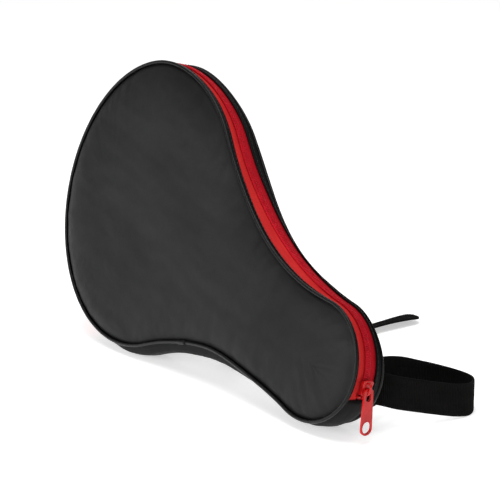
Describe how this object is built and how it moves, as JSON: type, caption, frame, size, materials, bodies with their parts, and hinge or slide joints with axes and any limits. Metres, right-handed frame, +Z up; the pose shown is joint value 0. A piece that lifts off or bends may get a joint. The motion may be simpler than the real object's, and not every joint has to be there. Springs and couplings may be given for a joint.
{
  "type": "table tennis bat case",
  "caption": "Pear-shaped zipped soft case for a table tennis bat, standing on its long edge, with corded piping, coil zipper with pull tab, wrist loop and a rear strap.",
  "frame": {"origin": "on the floor, under the middle of the footprint of the case and its straps", "axes": "+X along the standing edge from the head to the handle, +Y from the front face towards the back, +Z up; the case leans back by 13 degrees"},
  "size_m": [0.3092, 0.201, 0.1874],
  "materials": {
    "nylon_black": "satin coated nylon",
    "piping_black": "satin bias tape over cord",
    "cord_white": "matte",
    "foam_grey": "matte closed-cell foam",
    "lining_black": "matte knit",
    "tape_red": "matte woven tape",
    "coil_red": "satin nylon coil",
    "lacquer_red": "gloss",
    "webbing_black": "ribbed webbing"
  },
  "bodies": {
    "back_half": {"back_panel": "nylon_black", "back_foam": "foam_grey", "back_lining": "lining_black", "back_piping": "piping_black", "back_piping_cord": "cord_white", "back_binding": "lining_black", "gusset": "nylon_black", "rear_zipper_strip": "nylon_black", "rear_zipper_tape": "tape_red", "rear_coil": "coil_red", "rear_end_stop": "lacquer_red", "start_stop": "lacquer_red"},
    "front_cover": {"front_panel": "nylon_black", "front_foam": "foam_grey", "front_lining": "lining_black", "front_piping": "piping_black", "front_piping_cord": "cord_white", "front_binding": "lining_black", "front_zipper_strip": "nylon_black", "front_zipper_tape": "tape_red", "front_coil": "coil_red", "front_end_stop": "lacquer_red"},
    "slider": {"slider_body": "lacquer_red"},
    "pull": {"pull_tab": "lacquer_red"},
    "wrist_loop": {"wrist_strap": "webbing_black"},
    "rear_tail": {"rear_strap": "webbing_black"}
  },
  "joints": [
    {"name": "case_opening", "type": "hinge", "parent": "back_half", "child": "front_cover", "pos_m": [-0.06799, -0.09895, 0.00703], "axis": [1, 0, 0], "range_deg": [0, 45]},
    {"name": "slider_travel", "type": "hinge", "parent": "back_half", "child": "slider", "pos_m": [0.11175, -0.09108, 0.04114], "axis": [0, -0.9744, 0.225], "range_deg": [0, 78]},
    {"name": "pull_swing", "type": "hinge", "parent": "slider", "child": "pull", "pos_m": [0.15049, -0.08228, 0.03171], "axis": [0, -0.9744, 0.225], "range_deg": [-4, 155]},
    {"name": "wrist_strap_swing", "type": "hinge", "parent": "back_half", "child": "wrist_loop", "pos_m": [0.13411, -0.06296, 0.03], "axis": [0, 0, 1], "range_deg": [-50, 35]},
    {"name": "rear_strap_swing", "type": "hinge", "parent": "back_half", "child": "rear_tail", "pos_m": [-0.0017, -0.06656, 0.019], "axis": [1, 0, 0], "range_deg": [0, 60]}
  ]
}
